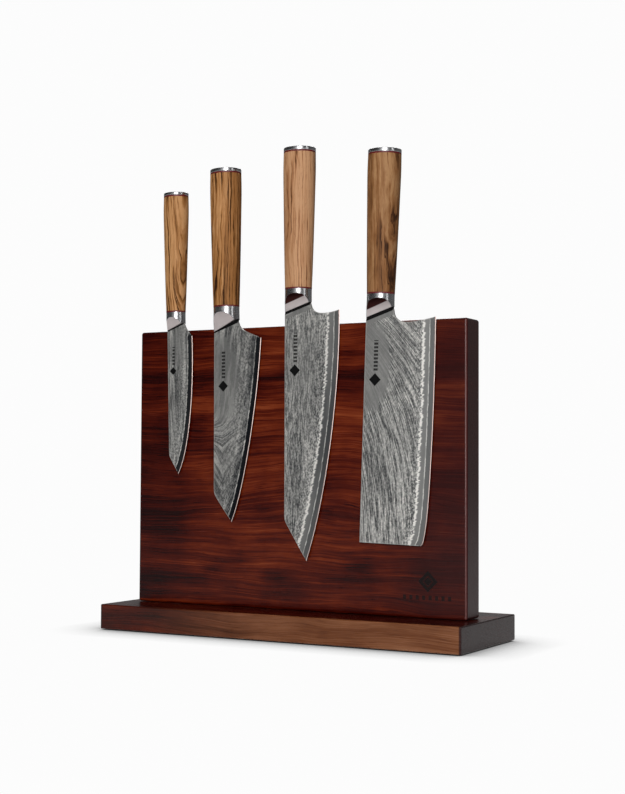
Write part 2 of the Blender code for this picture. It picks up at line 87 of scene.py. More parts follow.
class Graph:
    """A material's node tree, built from short expressions."""

    def __init__(self, name, tree=None):
        if tree is None:
            self.material = bpy.data.materials.new(name)
            self.material.use_nodes = True
            tree = self.material.node_tree
            self.shader = tree.nodes["Principled BSDF"]
        self.nodes, self.links = tree.nodes, tree.links

    def put(self, socket, value):
        if isinstance(value, Value):
            value = value.socket
        if isinstance(value, bpy.types.NodeSocket):
            self.links.new(value, socket)
        else:
            socket.default_value = value

    def math(self, operation, *values, clamp=False):
        node = self.nodes.new("ShaderNodeMath")
        node.operation, node.use_clamp = operation, clamp
        for socket, value in zip(node.inputs, values):
            self.put(socket, value)
        return Value(self, node.outputs[0])

    def abs(self, value):
        return self.math("ABSOLUTE", value)

    def most(self, a, b):
        return self.math("MAXIMUM", a, b)

    def clamp(self, value):
        return self.math("ADD", value, 0.0, clamp=True)

    def step(self, value, low, high):
        """0 below low, 1 above high and smooth between them. With low above high it falls."""
        node = self.nodes.new("ShaderNodeMapRange")
        node.interpolation_type = "SMOOTHSTEP"
        for name, number in (("From Min", low), ("From Max", high), ("Value", value)):
            self.put(node.inputs[name], number)
        return Value(self, node.outputs["Result"])

    def bell(self, value, centre, width):
        """1 at the centre, falling to 0 at about twice the width from it."""
        off = (value - centre) / width
        return self.math("EXPONENT", off * off * -1.0)

    def places(self, origin=(0, 0, 0), lean=0.0):
        """x, y and z in millimetres, in a frame with that origin (in metres) and lean about Y."""
        coords = self.nodes.new("ShaderNodeTexCoord")
        mapping = self.nodes.new("ShaderNodeMapping")
        mapping.vector_type = "TEXTURE"
        mapping.inputs["Location"].default_value = origin
        mapping.inputs["Rotation"].default_value = (0.0, lean, 0.0)
        mapping.inputs["Scale"].default_value = (MM, MM, MM)
        self.links.new(coords.outputs["Object"], mapping.inputs["Vector"])
        split = self.nodes.new("ShaderNodeSeparateXYZ")
        self.links.new(mapping.outputs[0], split.inputs[0])
        return [Value(self, socket) for socket in split.outputs]

    def vector(self, x, y, z):
        node = self.nodes.new("ShaderNodeCombineXYZ")
        for socket, value in zip(node.inputs, (x, y, z)):
            self.put(socket, value)
        return node.outputs[0]

    def noise(self, x, y, z, detail=3.0, rough=0.5):
        """Noise of about 0 to 1 with a mean of 0.5, one swell to a unit."""
        node = self.nodes.new("ShaderNodeTexNoise")
        self.put(node.inputs["Vector"], self.vector(x, y, z))
        for name, number in (("Scale", 1.0), ("Detail", detail), ("Roughness", rough)):
            node.inputs[name].default_value = number
        return Value(self, node.outputs[0])

    def attribute(self, name):
        node = self.nodes.new("ShaderNodeAttribute")
        node.attribute_name = name
        return Value(self, node.outputs["Fac"])

    def ramp(self, value, *stops):
        """A colour from stops of (place, colour)."""
        node = self.nodes.new("ShaderNodeValToRGB")
        elements = node.color_ramp.elements
        for _ in stops[2:]:
            elements.new(0.5)
        for element, (place, colour) in zip(elements, stops):
            element.position = place
        for element, (place, colour) in zip(elements, stops):
            element.color = colour
        self.put(node.inputs[0], value)
        return node.outputs["Color"]

    def mix(self, share, first, second):
        node = self.nodes.new("ShaderNodeMix")
        node.data_type = "RGBA"
        colours = [s for s in node.inputs if s.type == "RGBA"]
        self.put(node.inputs[0], share)
        self.put(colours[0], first)
        self.put(colours[1], second)
        return next(s for s in node.outputs if s.type == "RGBA")

    def grey(self, value):
        """A colour from one number."""
        node = self.nodes.new("ShaderNodeCombineColor")
        for socket in node.inputs[:3]:
            self.put(socket, value)
        return node.outputs[0]

    def bump(self, height, distance_mm, strength=1.0):
        node = self.nodes.new("ShaderNodeBump")
        node.inputs["Distance"].default_value = distance_mm * MM
        node.inputs["Strength"].default_value = strength
        self.put(node.inputs["Height"], height)
        self.links.new(node.outputs[0], self.shader.inputs["Normal"])

    def finish(self, **values):
        """Sets the shader's sockets, named with underscores, and returns the material."""
        for name, value in values.items():
            self.put(self.shader.inputs[name.replace("_", " ")], value)
        return self.material


# ------------------------------------------------------------------ mesh helpers
def add_object(name, data):
    made = bpy.data.objects.new(name, data)
    bpy.context.scene.collection.objects.link(made)
    return made


def mesh_object(name, bm):
    bmesh.ops.recalc_face_normals(bm, faces=bm.faces)
    mesh = bpy.data.meshes.new(name)
    bm.to_mesh(mesh)
    bm.free()
    return add_object(name, mesh)


def smooth(piece, sharp):
    """Smooth shading, with the edges sharper than an angle in degrees left crisp."""
    piece.data.shade_smooth()
    piece.data.set_sharp_from_angle(angle=math.radians(sharp))


def add_piece(name, bm, material, body, slot, *nodes, sharp=30.0):
    """A finished piece on its body, standing for the CAD nodes named."""
    piece = mesh_object(name, bm)
    smooth(piece, sharp)
    piece.data.materials.append(material)
    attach(piece, body)
    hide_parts(*nodes)
    return piece


def loft(bm, rings):
    """Skins rings of equally many points and closes both ends."""
    loops = [[bm.verts.new(point) for point in ring] for ring in rings]
    for lower, upper in zip(loops, loops[1:]):
        for i in range(len(lower)):
            j = (i + 1) % len(lower)
            bm.faces.new((lower[i], lower[j], upper[j], upper[i]))
    bm.faces.new(loops[0][::-1])
    bm.faces.new(loops[-1])


def oval(half_width, half_depth, z, centre=0.0, sides=96):
    turn = 2 * math.pi / sides
    return [
        Vector((centre + half_width * math.cos(i * turn), half_depth * math.sin(i * turn), z))
        for i in range(sides)
    ]


def evaluated(piece):
    """Replaces a piece's mesh by what its modifiers make of it."""
    graph = bpy.context.evaluated_depsgraph_get()
    mesh = bpy.data.meshes.new_from_object(piece.evaluated_get(graph))
    piece.modifiers.clear()
    piece.data = mesh
    return mesh


def cut(piece, *cutters):
    """Takes the cutters' volumes, given as bmeshes, away from a piece."""
    tools = []
    for bm in cutters:
        tool = mesh_object("cutter", bm)
        step = piece.modifiers.new("cut", "BOOLEAN")
        step.operation, step.solver, step.object = "DIFFERENCE", "EXACT", tool
        tools.append(tool)
    evaluated(piece)
    for tool in tools:
        bpy.data.objects.remove(tool)


def even_normals(piece):
    """Lets the large faces set the shading, so that flats stay flat beside small roundings."""
    step = piece.modifiers.new("even", "WEIGHTED_NORMAL")
    step.keep_sharp, step.weight = True, 100
    evaluated(piece)


# ------------------------------------------------------------------ stained wood
def stained_wood(name, seed, lift, half_length):
    """The figure shared by the panel and the plank: grain along X, bent upwards by lift, a place and a rise.
    Returns the graph, the places, the tone (0 dark to 1 light), the sheen and a mask of the board's ends."""
    g = Graph(name)
    x, y, z = g.places()
    across = z + y * 0.8
    sway = g.noise(x * 0.007, seed, across * 0.015, 2.0) - 0.5
    wobble = g.noise(x * 0.03, seed + 3.0, across * 0.1) - 0.5
    line = across + sway * 20.0 + wobble * 1.8
    if lift:
        centre_x, centre_z, rise = lift
        line = line - g.bell(x, centre_x, 62.0) * g.bell(z, centre_z, 34.0) * rise
    broad = g.noise(x * 0.004, seed + 7.0, line * 0.045)
    growth = g.noise(x * 0.006, seed + 11.0, line * 0.17, 3.0, 0.6)
    streak = g.noise(x * 0.008, seed + 17.0, line * 0.46, 3.0, 0.65)
    fibre = g.noise(x * 0.016, y * 1.5, line * 1.2 + seed, 3.0, 0.65)
    pores = g.noise(x * 0.05, y * 3.0, line * 1.5 + seed, 2.0)
    patch = g.noise(x * 0.022 + seed, y * 0.02, z * 0.035)
    tone = (broad - 0.5) * 0.9 + (growth - 0.5) * 0.8 + (streak - 0.5) * 0.6
    tone = tone + (fibre - 0.5) * 0.8 + (patch - 0.5) * 0.7
    tone = tone - g.step(pores, 0.58, 0.7) * 0.26 + 0.05
    ends = g.step(g.abs(x), half_length - 2.2, half_length - 0.8)
    tone = tone * (1.0 - ends * 0.75)
    g.bump(fibre * 0.6 - pores * 0.5, 0.1, 0.3)
    sheen = (fibre - 0.5) * 0.16 + (patch - 0.5) * 0.08
    return g, (x, y, z), tone, sheen, ends


STAIN = (
    (0.00, linear(18, 0, 0)),
    (0.22, linear(46, 2, 0)),
    (0.45, linear(76, 17, 4)),
    (0.66, linear(106, 37, 13)),
    (0.85, linear(132, 58, 28)),
    (1.00, linear(164, 90, 52)),
)
PANEL_HALF, PLANK_HALF = 151.8, 163.2
MARK_X, MARK_Z = 119.4, 49.7
TICK_SPAN, TICK_Z = (97.0, 141.0), 37.2
# Height, width and lightness of the broad bands along the panel, then its knots.
PANEL_BANDS = ((229.7, 0.8, 0.14), (210.0, 5.0, -0.22), (197.0, 6.0, 0.12), (100.0, 8.0, -0.1))
PANEL_KNOTS = ((-78.0, 52.0, 7.0), (-18.0, 48.0, 9.0), (60.0, 58.0, 10.0))


def panel_material():
    g, (x, y, z), tone, sheen, ends = stained_wood("panel_wood", 0.0, (45.0, 125.0, 13.0), PANEL_HALF)
    level = 0.24 + g.step(x, -150.0, -60.0) * 0.2 - g.step(z, 110.0, 30.0) * 0.06
    level = level + g.step(x, -80.0, 10.0) * 0.05 - g.step(x, 40.0, 150.0) * 0.13
    for place, width, amount in PANEL_BANDS:
        level = level + g.bell(z + sheen * 10.0, place, width) * amount
    tone = tone + level
    for px, pz, size in PANEL_KNOTS:
        tone = tone - g.bell(x, px, size * 1.5) * g.bell(z, pz, size * 0.6) * 0.25
    colour = g.ramp(g.clamp(tone), *STAIN)
    # Towards the right end the colour dulls to a purplish red: a painted sheen.
    colour = g.mix(g.step(x, 70.0, 150.0) * 0.55, colour, linear(58, 21, 20))
    colour = g.mix(ends * 0.7, colour, linear(60, 22, 22))
    # A painted highlight down the front's right-hand rounded edge.
    painted_highlight = g.step(x, 149.9, 150.9) * g.step(x, 152.0, 151.2) * g.step(y, -15.0, -15.8)
    colour = g.mix(painted_highlight * 0.6, colour, linear(132, 84, 80))
    mark, ring, hole = (lozenge(g, x, z, MARK_X, MARK_Z, half) for half in (8.2, 4.6, 3.4))
    inner = ring * (1.0 - hole)
    ticks = tick_row(g, x, z, TICK_SPAN, TICK_Z, 1.7, 5.4, 2.6)
    front = g.step(y, -15.2, -15.6)
    burn = g.clamp(mark * 0.9 - inner * 0.6 + ticks * 0.8) * front
    colour = g.mix(burn, colour, linear(14, 8, 8))
    return g.finish(Base_Color=colour, Roughness=0.24 + sheen, Specular_IOR_Level=0.22)


def lozenge(g, x, z, cx, cz, half):
    """1 inside an upright lozenge on the XZ plane."""
    reach = g.abs(x - cx) + g.abs(z - cz)
    return g.step(reach, half + 0.15, half - 0.15)


def tick_row(g, along, across, span, centre, half_height, pitch, width):
    """Plain bars in a row: along runs over the span, across is centred."""
    phase = g.math("FRACT", (along - span[0]) / pitch) * pitch
    bar = g.step(g.abs(phase - pitch / 2), width / 2 + 0.12, width / 2 - 0.12)
    within = g.step(along, span[0] - 0.1, span[0] + 0.1) * g.step(along, span[1] + 0.1, span[1] - 0.1)
    return bar * within * g.step(g.abs(across - centre), half_height + 0.1, half_height - 0.1)


def plank_material():
    g, (x, y, z), tone, sheen, ends = stained_wood("plank_wood", 23.0, None, PLANK_HALF)
    # The front face is mixed towards a lighter colour from the left end to the right: a painted reflection of
    # the lamps in its finish.
    front = g.step(y, -51.5, -53.2) * (1.0 - ends)
    painted_highlight = g.step(x, -135.0, 40.0)
    colour = g.ramp(g.clamp(tone + 0.27), *STAIN)
    bare_core_and_painted_sheen = g.ramp(
        g.clamp(tone * 0.8 + 0.55),
        (0.10, linear(58, 22, 8)),
        (0.45, linear(112, 64, 36)),
        (0.75, linear(140, 90, 60)),
        (1.00, linear(168, 122, 92)),
    )
    colour = g.mix(front * (0.04 + painted_highlight * 0.96), colour, bare_core_and_painted_sheen)
    colour = g.mix(ends * 0.7, colour, linear(40, 20, 19))
    return g.finish(Base_Color=colour, Roughness=0.26 + sheen, Specular_IOR_Level=0.3)


# ------------------------------------------------------------------ the stand
def box_bm(low, high):
    """A plain box between two corners."""
    bm = bmesh.new()
    made = bmesh.ops.create_cube(bm, size=1.0)["verts"]
    bmesh.ops.scale(bm, vec=high - low, verts=made)
    bmesh.ops.translate(bm, vec=(low + high) / 2, verts=made)
    return bm


def board(name, material, low, high, flat_side, radius, *nodes):
    """A board between two corners. Its edges are rounded, but not those on the glued side."""
    bm = box_bm(low, high)
    flat_y = {"back": high.y, "front": low.y, None: 1e9}[flat_side]
    outer = [e for e in bm.edges if not all(abs(v.co.y - flat_y) < 1e-7 for v in e.verts)]
    bmesh.ops.bevel(bm, geom=outer, offset=radius, segments=8, profile=0.5, affect="EDGES")
    return add_piece(name, bm, material, "stand", "stained_wood", *nodes, sharp=20.0)


def upright(profile, x, y, sides=48):
    """A turned cutter or piece from (radius, height) pairs in metres."""
    bm = bmesh.new()
    rings = [[p + Vector((x, y, 0)) for p in oval(r, r, h, sides=sides)] for r, h in profile]
    loft(bm, rings)
    return bm


def middle(node):
    low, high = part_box(node)
    return (low + high) / 2


def named(start):
    return [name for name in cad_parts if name.startswith(start)]


# In metres: the room round a hidden part and round a foot or a screw's head, how far a cutter overshoots,
# and a screw hole's shank radius, height up to the shank, and the width and step of the bore below.
PLAY, LOOSE, OVERSHOOT = 0.0003, 0.0004, 0.01
SHANK_HOLE, SINK_HEIGHT, BORE_EXTRA, BORE_STEP = 0.0028, 0.0042, 0.0006, 0.0008


def make_panel():
    """The panel's two boards, with pockets for the magnets in the front one."""
    wood = panel_material()
    low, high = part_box("front_board")
    back_low, back_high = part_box("back_board")
    seam = (high.y + back_low.y) / 2
    front = board("panel_front", wood, low, Vector((high.x, seam, high.z)), "back", 0.002, "front_board")
    back = board("panel_back", wood, Vector((low.x, seam, low.z)), back_high, "front", 0.002, "back_board")
    room = Vector((PLAY, PLAY, PLAY))
    pockets = []
    for name in named("magnet_"):
        near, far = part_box(name)
        far = far + room
        far.y = seam + 0.001
        pockets.append(box_bm(near - room, far))
    cut(front, *pockets)
    return front, back


def make_stand():
    front, back = make_panel()
    base_low, base_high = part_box("base_plank")
    base = board("plank", plank_material(), base_low, base_high, None, 0.001, "base_plank")
    through = base_high.z + OVERSHOOT
    holes, rises = [], []
    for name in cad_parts:
        x, y = middle(name).xy
        low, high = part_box(name)
        wide = (high.x - low.x) / 2 + LOOSE
        if name.startswith("foot_"):
            holes.append(upright([(wide, -OVERSHOOT), (wide, high.z)], x, y))
        if name.startswith("panel_screw_"):
            bore = wide + BORE_EXTRA
            head = [(bore, -OVERSHOOT), (bore, low.z), (wide, low.z + BORE_STEP)]
            shank = [(SHANK_HOLE, low.z + SINK_HEIGHT), (SHANK_HOLE, through)]
            holes.append(upright(head + shank, x, y))
            rises.append(upright([(SHANK_HOLE, 0.0), (SHANK_HOLE, high.z + 0.0005)], x, y))
        if name.startswith("panel_dowel_"):
            holes.append(upright([(wide, low.z - PLAY), (wide, through)], x, y))
            rises.append(upright([(wide, 0.0), (wide, high.z + PLAY)], x, y))
    cut(base, *holes)
    cut(back, *rises)
    for piece in (front, back, base):
        even_normals(piece)


def make_feet():
    g = Graph("foot_rubber")
    x, y, z = g.places()
    speckle = g.noise(x * 3.0, y * 3.0, z * 3.0)
    colour = g.ramp(speckle, (0.3, linear(20, 20, 21)), (0.8, linear(44, 44, 46)))
    g.bump(speckle, 0.08, 0.5)
    rubber = g.finish(Base_Color=colour, Roughness=0.72 + speckle * 0.2)
    edge, flat_inset = 0.0008, 0.0011
    for name in named("foot_"):
        low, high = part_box(name)
        radius = (high.x - low.x) / 2
        rings = [(radius - flat_inset, low.z)]
        for i in range(1, 7):
            turn = math.radians(15 * i)
            rings.append((radius - edge + edge * math.sin(turn), low.z + edge - edge * math.cos(turn)))
        rings.append((radius, high.z))
        bm = upright(rings, *middle(name).xy, 64)
        add_piece(f"{name}_pad", bm, rubber, "stand", "rubber", name, sharp=40.0)


# ------------------------------------------------------------------ the knives
JOINT_GAP = 0.00015  # metres between a bolster and its spacer


class Knife:
    """A knife's own frame, read from its CAD nodes."""

    def __init__(self, name):
        self.name, self.body = name, f"{name}_knife"
        lower, upper = middle(f"{name}_front_liner"), middle(f"{name}_end_cap")
        up = (upper - lower).normalized()
        self.lean = math.atan2(up.x, up.z)
        liner = self.span(f"{name}_front_liner", Matrix.Rotation(-self.lean, 4, "Y"))
        self.origin = lower - up * (liner / 2 + JOINT_GAP)
        rotate = Matrix.Rotation(self.lean, 4, "Y")
        self.to_frame = Matrix.Translation(self.origin) @ rotate @ Matrix.Scale(MM, 4)
        self.from_frame = self.to_frame.inverted()

    def span(self, node, turn):
        heights = [(turn @ v.co).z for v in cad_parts[node].data.vertices]
        return max(heights) - min(heights)

    def points(self, part):
        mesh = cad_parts[f"{self.name}_{part}"].data
        return [self.from_frame @ v.co for v in mesh.vertices]

    def heights(self, part):
        values = [p.z for p in self.points(part)]
        return min(values), max(values)

    def widths(self, part):
        """(height, half width) at each ring of a part's outer skin."""
        rings = {}
        for p in self.points(part):
            key = round(p.z / 2.0)
            height, half = rings.get(key, (p.z, 0.0))
            rings[key] = (height, max(half, abs(p.x)))
        return [rings[key] for key in sorted(rings)]

    def place(self, bm):
        bm.transform(self.to_frame)
        return bm


def sample(rings, z):
    """Half width at a height, between a part's rings."""
    if z <= rings[0][0]:
        return rings[0][1]
    for (z0, a0), (z1, a1) in zip(rings, rings[1:]):
        if z <= z1:
            return a0 + (a1 - a0) * (z - z0) / (z1 - z0)
    return rings[-1][1]


def bar_piece(knife, part, name, material, slot, low, high, width_at, rounding, steps=1):
    """A stretch of the grip between two heights, with its two rims rounded."""
    bm = bmesh.new()
    rings = []

    def rim(end, way, order):
        a, b = width_at(end)
        for i in order:
            turn = math.radians(22.5 * i)
            inset = rounding * (1 - math.sin(turn))
            rings.append(oval(a - inset, b - inset, end + way * rounding * (1 - math.cos(turn))))

    rim(low, 1, range(5))
    for i in range(1, steps):
        z = low + (high - low) * i / steps
        rings.append(oval(*width_at(z), z))
    rim(high, -1, range(4, -1, -1))
    loft(bm, rings)
    knife.place(bm)
    return add_piece(name, bm, material, knife.body, slot, f"{knife.name}_{part}", sharp=40.0)


def olive_wood(knife, look):
    """Olive wood: pale, with dark lines of late growth along the handle. look holds this handle's figure."""
    g = Graph(f"{knife.name}_olive_wood")
    x, y, z = g.places(knife.origin, knife.lean)
    seed = look["seed"]
    drift = (g.noise(seed, seed + 5.0, z * 0.02, 2.0) - 0.5) * look["drift"]
    u = x + drift + z * look["slant"]
    pith_x, pith_y = look["pith"]
    far = g.math("SQRT", (u - pith_x) * (u - pith_x) + (y - pith_y) * (y - pith_y))
    wave = (g.noise(x * 0.1, y * 0.1 + seed, z * 0.025) - 0.5) * look["wave"]
    jitter = (g.noise(x * 0.4, y * 0.4 + seed, z * 0.1, 2.0) - 0.5) * 1.0
    rings = far + wave + jitter
    uneven = g.noise(rings * 0.23, seed + 9.0, z * 0.008, 2.0) * 2.6
    phase = g.math("FRACT", rings * look["rings"] + uneven)
    late = g.step(phase, look["early"], 0.92) * g.step(phase, 1.0, 0.93)
    presence = g.noise(rings * 0.3, seed + 20.0, z * 0.025, 3.0, 0.6)
    strength = g.step(presence, look["lines_from"], look["lines_from"] + 0.25)
    hair = g.noise(rings * 1.7, seed + 40.0, z * 0.012, 2.0, 0.6)
    hair = g.step(hair, 0.53, 0.66) * g.step(g.noise(rings * 0.2, seed + 44.0, z * 0.02, 2.0), 0.4, 0.56)
    broad = g.noise(rings * 0.11, seed, z * 0.006, 2.0)
    fine = g.noise(rings * 0.75, seed + 2.0, z * 0.012, 3.0, 0.6)
    fibre = g.noise(rings * 2.1, seed + 31.0, z * 0.03, 2.0, 0.6)
    cloud = g.noise(x * 0.14, y * 0.14, z * 0.05 + seed, 3.0, 0.6)
    tone = 0.33 + look["shift"] + (broad - 0.5) * 0.9 + (fine - 0.5) * 1.0 + (fibre - 0.5) * 0.5
    tone = tone + (cloud - 0.5) * look["cloud"] + late * strength * look["line_depth"] + hair * look["hair"]
    colour = g.ramp(g.clamp(tone), *zip((0.12, 0.38, 0.6, 0.8, 1.0), look["colours"]))
    flecks = g.noise(x * 2.2, y * 2.2, z * 0.2, 2.0)
    colour = g.mix(g.step(flecks, 0.58, 0.72) * 0.35, colour, look["colours"][3])
    g.bump(fibre * 0.6 - flecks * 0.4, 0.08, 0.3)
    return g.finish(Base_Color=colour, Roughness=0.6 + (fibre - 0.5) * 0.2, Specular_IOR_Level=0.12)


def bright_steel(knife, seam, look):
    """Satin-polished steel with fine lines round it. seam is the line (start, lean) across the bolster
    below which the steel is painted black, a painted shadow on the step there. The hollows are painted paler
    and pinkish, a painted reflection, and painted dark above their strip, a painted reflection too."""
    g = Graph(f"{knife.name}_bright_steel")
    x, y, z = g.places(knife.origin, knife.lean)
    depth, half, _, _ = bolster_shape(knife)
    lines = g.noise(x * 0.2, y * 0.2, z * 1.6, 2.0)
    smear = g.noise(x * 0.15, y * 0.15, z * 0.15, 2.0)
    start, lean = seam
    across = z * math.cos(lean) - x * math.sin(lean)
    # Below the seam the steel is painted black: a painted shadow on the step.
    below = g.step(across, start + 0.05, start - 0.05)
    round_x, round_y = x / half, y / depth
    # The hollows' paler, pinkish colour is a painted reflection; their rougher grind is the steel's own.
    ground = g.step(round_x * round_x + round_y * round_y, 0.985, 0.93) * g.step(z, -1.0, -3.0)
    # Above its strip each hollow is painted dark brown: a painted reflection.
    painted_dark_reflection = ground * g.step(across, start + look["strip"] - 0.25, start + look["strip"] + 0.25)
    colour = g.mix(lines * 0.5, linear(176, 176, 178), linear(204, 203, 204))
    colour = g.mix(ground, colour, g.mix(smear, linear(210, 200, 199), linear(226, 215, 214)))
    colour = g.mix(painted_dark_reflection, colour, linear(66, 36, 34))
    colour = g.mix(below, colour, linear(9, 8, 9))
    g.bump(lines, 0.01, 0.06)
    rough = 0.23 + smear * 0.03 + lines * 0.03 + ground * 0.1 + below * 0.3
    return g.finish(Base_Color=colour, Metallic=1.0 - below, Roughness=rough, Specular_IOR_Level=0.1)


def red_fibre():
    g = Graph("red_fibre")
    x, y, z = g.places()
    mottle = g.noise(x * 0.9, y * 0.9, z * 2.0)
    colour = g.ramp(mottle, (0.3, linear(78, 6, 9)), (0.75, linear(122, 14, 18)))
    g.bump(mottle, 0.03, 0.3)
    return g.finish(Base_Color=colour, Roughness=0.42 + mottle * 0.15)


# A blade's half thickness against the distance from its cutting edge, and the distances at which its face
# has a line of points, in millimetres.
TAPER = ((0.0, 0.04), (0.5, 0.24), (11.0, 0.8), (50.0, 1.1))
CONTOURS = (0.5, 2.5, 4.2, 5.4, 8.0, 11.0, 13.0, 16.0, 20.0, 25.0, 31.0, 38.0, 46.0)


def taper_half(distance):
    for (d0, h0), (d1, h1) in zip(TAPER, TAPER[1:]):
        if distance <= d1:
            return h0 + (h1 - h0) * (distance - d0) / (d1 - d0)
    return TAPER[-1][1]


def distance_to(point, line):
    best = 1e9
    for a, b in zip(line, line[1:]):
        near, share = intersect_point_line(point, a, b)
        near = a if share < 0 else b if share > 1 else near
        best = min(best, (point - near).length)
    return best


def inside(point, outline):
    odd = False
    for a, b in zip(outline, outline[1:] + outline[:1]):
        if (a.y > point.y) != (b.y > point.y):
            odd ^= point.x < a.x + (b.x - a.x) * (point.y - a.y) / (b.y - a.y)
    return odd


def blade_outline(knife):
    """The CAD blade's outline without its tang, clockwise from the heel's side of the bolster, and the run
    of it that is the cutting edge."""
    bm = bmesh.new()
    bm.from_mesh(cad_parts[f"{knife.name}_blade"].data)
    bmesh.ops.remove_doubles(bm, verts=bm.verts, dist=1e-6)
    bm.transform(knife.from_frame)
    bm.normal_update()
    front = {f for f in bm.faces if f.normal.y < -0.5}
    rim = [e for e in bm.edges if len([f for f in e.link_faces if f in front]) == 1]
    following = {}
    for edge in rim:
        face = next(f for f in edge.link_faces if f in front)
        loop = next(l for l in face.loops if l.edge == edge)
        following[loop.vert] = loop.link_loop_next.vert
    vert = start = next(iter(following))
    loop_verts = []
    while True:
        loop_verts.append(vert)
        vert = following[vert]
        if vert == start:
            break
    points = [(Vector((v.co.x, v.co.z)), abs(v.co.y) < 0.2) for v in loop_verts if v.co.z < 0]
    bm.free()
    for _ in range(2):
        begin = next(i for i in range(len(points)) if points[i][1] and not points[i - 1][1])
        points = points[begin:] + points[:begin]
        if points[0][0].y < points[1][0].y:
            points.reverse()
    return [point for point, _ in points], [point for point, sharp in points if sharp]


def make_blade(knife, material):
    outline, edge = blade_outline(knife)
    count = len(outline)
    # The corners next to the handle run on a millimetre, square to the oblique end, into the bolster.
    square = Vector((-0.35, 0.94))
    for i in sorted(range(count), key=lambda i: -(outline[i].y - outline[i].x * 0.35))[:4]:
        outline[i] = outline[i] + square
    inset, chamfer = [], []
    for i, point in enumerate(outline):
        along = (outline[(i + 1) % count] - outline[i - 1]).normalized()
        outward = Vector((along.y, -along.x))
        if inside(point + outward * 0.01, outline):
            outward = -outward
        half = taper_half(distance_to(point, edge))
        size = min(0.18, half * 0.35)
        chamfer.append(size)
        inset.append(point - outward * size)

    points = list(inset)
    links = [(i, (i + 1) % count) for i in range(count)]
    for distance in CONTOURS:
        line = []
        for i, point in enumerate(edge):
            along = edge[min(i + 1, len(edge) - 1)] - edge[max(i - 1, 0)]
            line.append(point + Vector((along.y, -along.x)).normalized() * distance)
        line = [line[0] + (line[0] - line[1]).normalized() * 4.0] + line
        line.append(line[-1] + (line[-1] - line[-2]).normalized() * 4.0)
        links += [(len(points) + i, len(points) + i + 1) for i in range(len(line) - 1)]
        points += line
    flat, _, faces, _, _, _ = delaunay_2d_cdt(points, links, [], 0, 1e-5)
    faces = [f for f in faces if inside(sum((flat[i] for i in f), Vector((0, 0))) / len(f), inset)]

    bm = bmesh.new()
    layer = bm.verts.layers.float.new("edge_mm")
    rim_layer = bm.verts.layers.float.new("rim_mm")
    border = outline[len(edge) - 1 :] + outline[:1]

    def corner(p, y):
        vert = bm.verts.new((p.x, y, p.y))
        vert[layer] = distance_to(p, edge)
        vert[rim_layer] = distance_to(p, border)
        return vert

    front, back = {}, {}
    for i in sorted({i for f in faces for i in f}):
        half = taper_half(distance_to(flat[i], edge))
        front[i], back[i] = corner(flat[i], -half), corner(flat[i], half)
    sides = {}
    for f in faces:
        bm.faces.new([front[i] for i in f])
        bm.faces.new([back[i] for i in reversed(f)])
        for i, j in zip(f, f[1:] + f[:1]):
            if (j, i) in sides:
                del sides[(j, i)]
            else:
                sides[(i, j)] = True
    outer = {}
    for i in {i for pair in sides for i in pair}:
        nearest = min(range(count), key=lambda k: (inset[k] - flat[i]).length)
        shift = outline[nearest] - inset[nearest]
        p = flat[i] + shift
        half = max(0.015, taper_half(distance_to(p, edge)) - chamfer[nearest])
        outer[i] = (corner(p, -half), corner(p, half))
    for i, j in sides:
        bm.faces.new((front[j], front[i], outer[i][0], outer[j][0]))
        bm.faces.new((outer[j][0], outer[i][0], outer[i][1], outer[j][1]))
        bm.faces.new((outer[j][1], outer[i][1], back[i], back[j]))
    knife.place(bm)
    name = f"{knife.name}_blade"
    return add_piece(f"{name}_steel", bm, material, knife.body, "damascus_steel", name, sharp=8.0)


ETCH = (
    (0.00, linear(20, 22, 26)),
    (0.25, linear(78, 79, 80)),
    (0.50, linear(138, 138, 136)),
    (0.75, linear(192, 191, 187)),
    (1.00, linear(246, 243, 238)),
)


def streak_curve(g, look, x, z, edge):
    """A place across the streaks, whose curves lean more and more towards the bolster."""
    foot, reach, lean, fan = look["fan"]
    climb = g.most(z - foot, 0.0)
    curve = x + z * lean + climb * climb * climb * (fan / (3 * reach * reach))
    if "parallel" in look:
        curve = curve * (1.0 - look["parallel"]) + edge * -look["parallel"]
    if "chevron" in look:
        axis, low, high = look["chevron"]
        arms = g.abs(x - axis) * 1.3 - (z - (low + high) / 2) * 0.8
        share = g.step(z, high, low)
        curve = curve * (1.0 - share) + arms * share
    return curve + (g.noise(x * 0.06, look["seed"], z * 0.02, 3.0, 0.55) - 0.5) * look["warp"]


